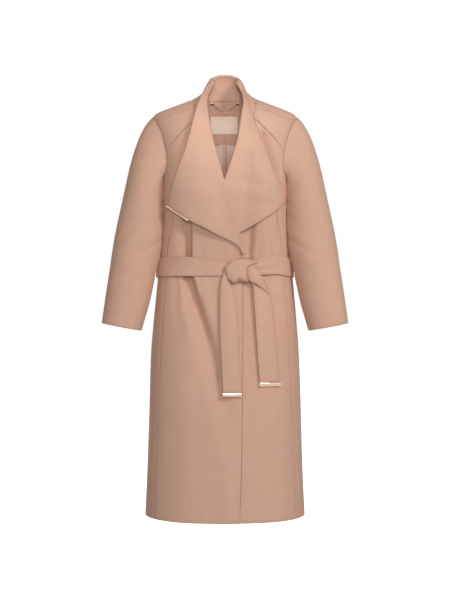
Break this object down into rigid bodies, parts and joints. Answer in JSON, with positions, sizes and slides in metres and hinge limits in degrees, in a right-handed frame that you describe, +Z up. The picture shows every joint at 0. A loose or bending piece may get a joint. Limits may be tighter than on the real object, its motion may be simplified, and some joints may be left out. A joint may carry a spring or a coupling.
{
  "type": "wrap coat",
  "caption": "Long belted wrap coat of smooth wool cloth with wide turned-back lapels, a standing back collar and a knotted tie belt, filled out and hollow inside",
  "frame": {"origin": "where the wearer's shoulders carry the coat: midway between the shoulders, 11 mm below the back neck seam", "axes": "+Z up, the coat's front faces -Y, and +X is the wearer's left"},
  "size_m": [0.6646, 0.295, 1.1884],
  "materials": {
    "coat_cloth": "smooth dense coating wool with a short raised nap, camel with a rose cast",
    "rose_metal": "polished metal with a rose gold colour",
    "lining": "plain woven lining with a soft sheen",
    "label": "blank satin label, pale peach"
  },
  "bodies": {
    "root": {"front_right": "coat_cloth", "front_left": "coat_cloth", "shoulder_right": "coat_cloth", "shoulder_left": "coat_cloth", "side_right": "coat_cloth", "side_left": "coat_cloth", "back_right": "coat_cloth", "back_left": "coat_cloth", "lapel_right": "coat_cloth", "lapel_left": "coat_cloth", "sleeve_upper_right": "coat_cloth", "sleeve_upper_left": "coat_cloth", "sleeve_under_right": "coat_cloth", "sleeve_under_left": "coat_cloth", "belt_loop_right": "coat_cloth", "belt_loop_left": "coat_cloth", "collar": "coat_cloth", "belt_band": "coat_cloth", "belt_knot": "coat_cloth", "belt_end_right": "coat_cloth", "belt_end_left": "coat_cloth", "belt_bar_right": "rose_metal", "belt_bar_left": "rose_metal", "lapel_bar": "rose_metal", "back_neck_facing_right": "coat_cloth", "back_neck_facing_left": "coat_cloth", "back_lining": "lining", "blank_label": "label", "hanger_tab_right": "rose_metal", "hanger_tab_left": "rose_metal", "hanger_chain": "rose_metal"}
  },
  "joints": []
}
